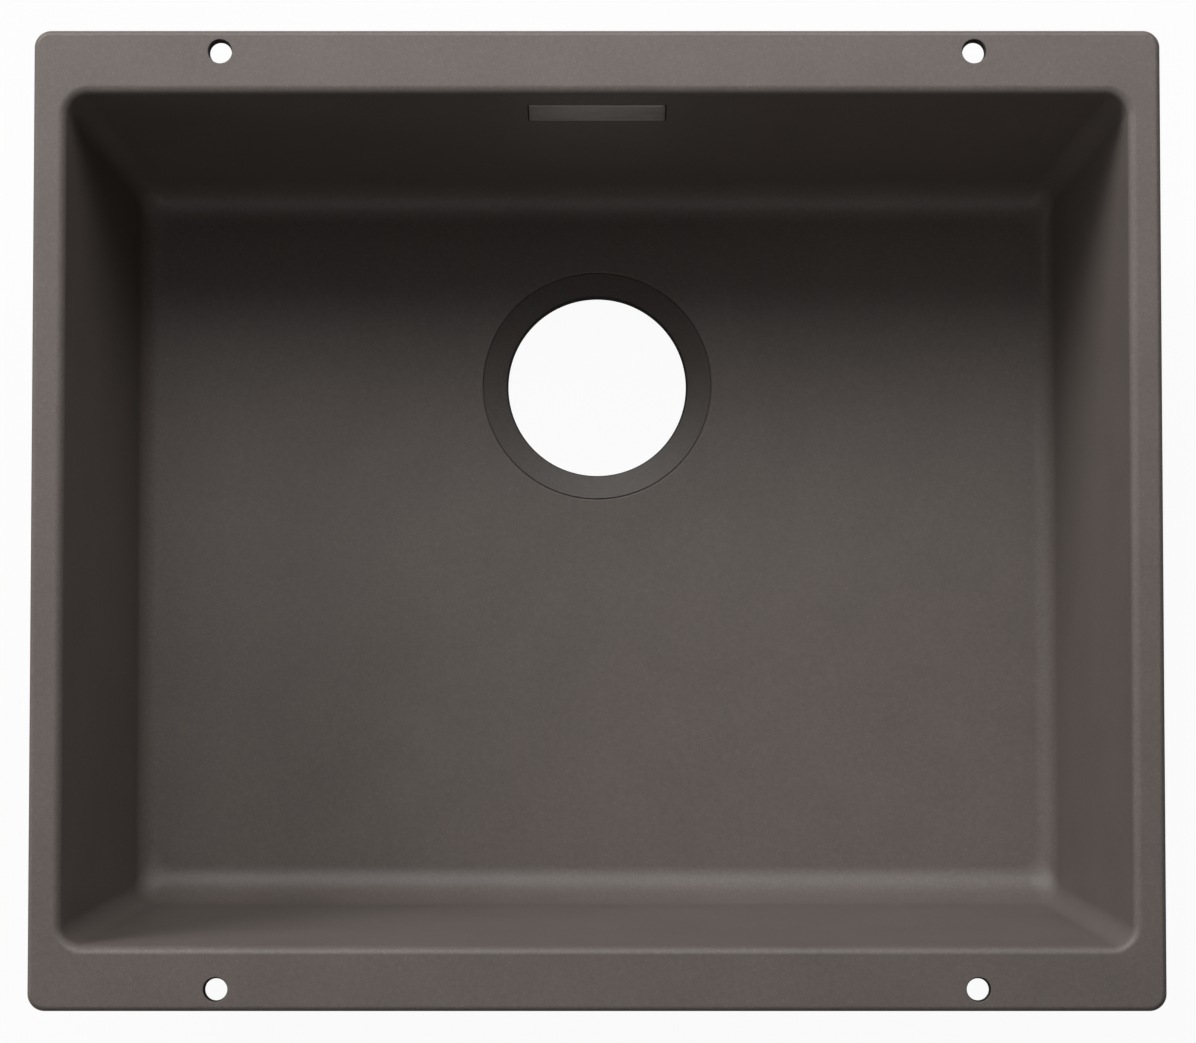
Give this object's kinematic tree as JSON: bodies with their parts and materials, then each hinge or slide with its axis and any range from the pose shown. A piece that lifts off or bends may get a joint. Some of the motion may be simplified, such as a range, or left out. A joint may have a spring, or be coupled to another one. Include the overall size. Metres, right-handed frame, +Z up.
{
  "type": "undermount kitchen sink",
  "caption": "Undermount kitchen sink with one rectangular bowl in dark composite, a flat fixing rim, an open drain hole and a rectangular steel overflow cover.",
  "frame": {"origin": "centre of the rim's plan, at the level of the bowl's underside", "axes": "+Z up, +Y towards the back wall, which holds the overflow, +X to the right seen from the front"},
  "size_m": [0.53, 0.46, 0.202],
  "materials": {
    "granite_composite": "matte",
    "brushed_steel": "satin",
    "spring_steel": "satin",
    "frame_steel": "satin",
    "screw_steel": "satin",
    "seal_rubber": "matte",
    "housing_plastic": "matte",
    "insert_brass": "satin"
  },
  "bodies": {
    "bowl": {"sink_bowl": "granite_composite", "overflow_frame": "frame_steel", "overflow_screw_left": "screw_steel", "overflow_screw_right": "screw_steel", "overflow_gasket": "seal_rubber", "overflow_housing": "housing_plastic", "overflow_insert_left": "insert_brass", "overflow_insert_right": "insert_brass"},
    "cover": {"overflow_cover": "brushed_steel", "cover_clip_left": "spring_steel", "cover_clip_right": "spring_steel"}
  },
  "joints": [
    {"name": "cover_pull", "type": "slide", "parent": "bowl", "child": "cover", "axis": [0, -0.9945, 0.1045], "range_m": [0, 0.06]}
  ]
}
